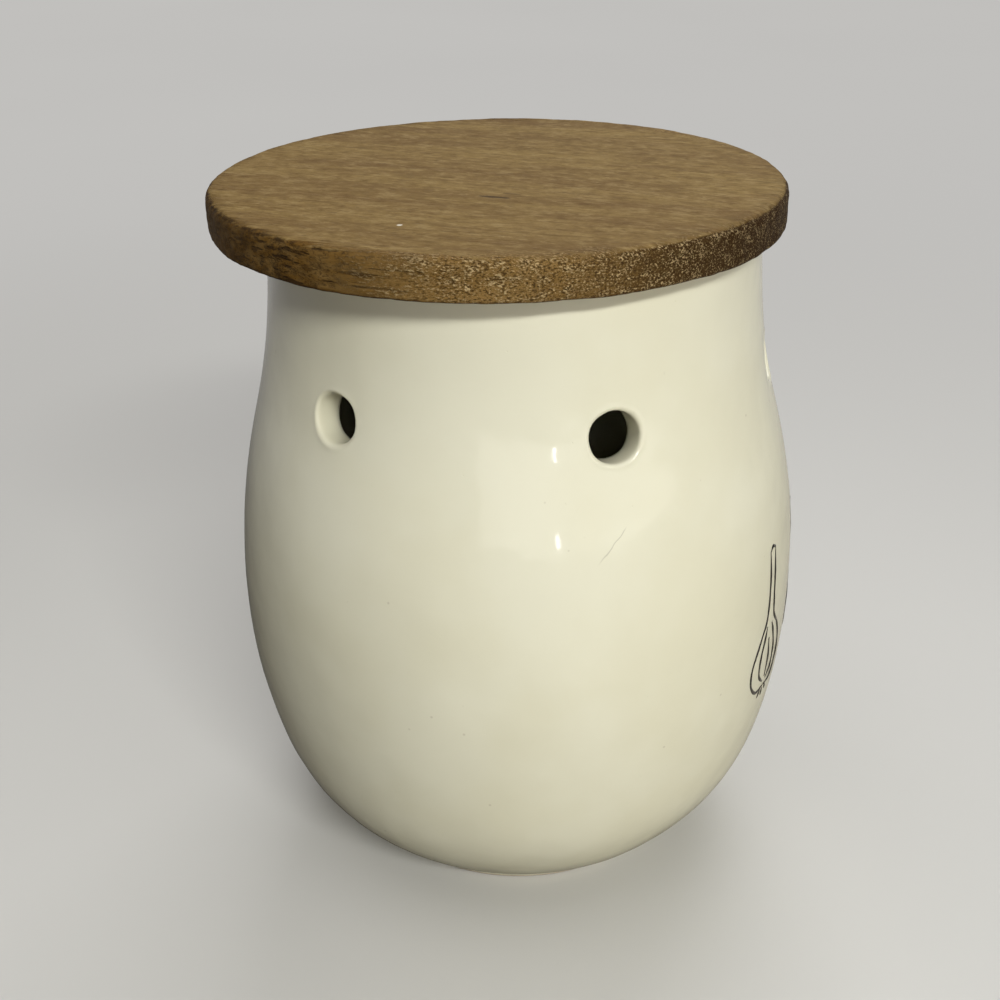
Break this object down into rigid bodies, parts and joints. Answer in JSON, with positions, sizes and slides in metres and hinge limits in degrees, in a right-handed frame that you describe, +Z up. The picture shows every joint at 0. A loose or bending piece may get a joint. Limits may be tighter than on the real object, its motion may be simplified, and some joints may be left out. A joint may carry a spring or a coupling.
{
  "type": "garlic keeper",
  "caption": "Pot-bellied glazed stoneware garlic keeper with air vents below its rim and a lift-off round wooden lid held by a sealing ring.",
  "frame": {"origin": "centre of the face that the foot ring stands on", "axes": "+Z up along the jar's axis, -Y through the decorated front, midway between two vents"},
  "size_m": [0.1124, 0.1124, 0.1388],
  "materials": {
    "glaze": "glossy cream glaze",
    "board_wood": "oiled mid-brown hardwood, matte",
    "plug_wood": "oiled mid-brown hardwood, matte",
    "silicone": "milky translucent silicone"
  },
  "bodies": {
    "jar": {"jar": "glaze"},
    "seal": {"lid_seal": "silicone"},
    "lid": {"lid_board": "board_wood", "lid_plug": "plug_wood"}
  },
  "joints": [
    {"name": "lid_lift", "type": "slide", "parent": "jar", "child": "seal", "axis": [0, 0, 1], "range_m": [0, 0.06]},
    {"name": "lid_turn", "type": "hinge", "parent": "seal", "child": "lid", "pos_m": [0, 0, 0.1315], "axis": [0, 0, 1], "continuous": true}
  ]
}
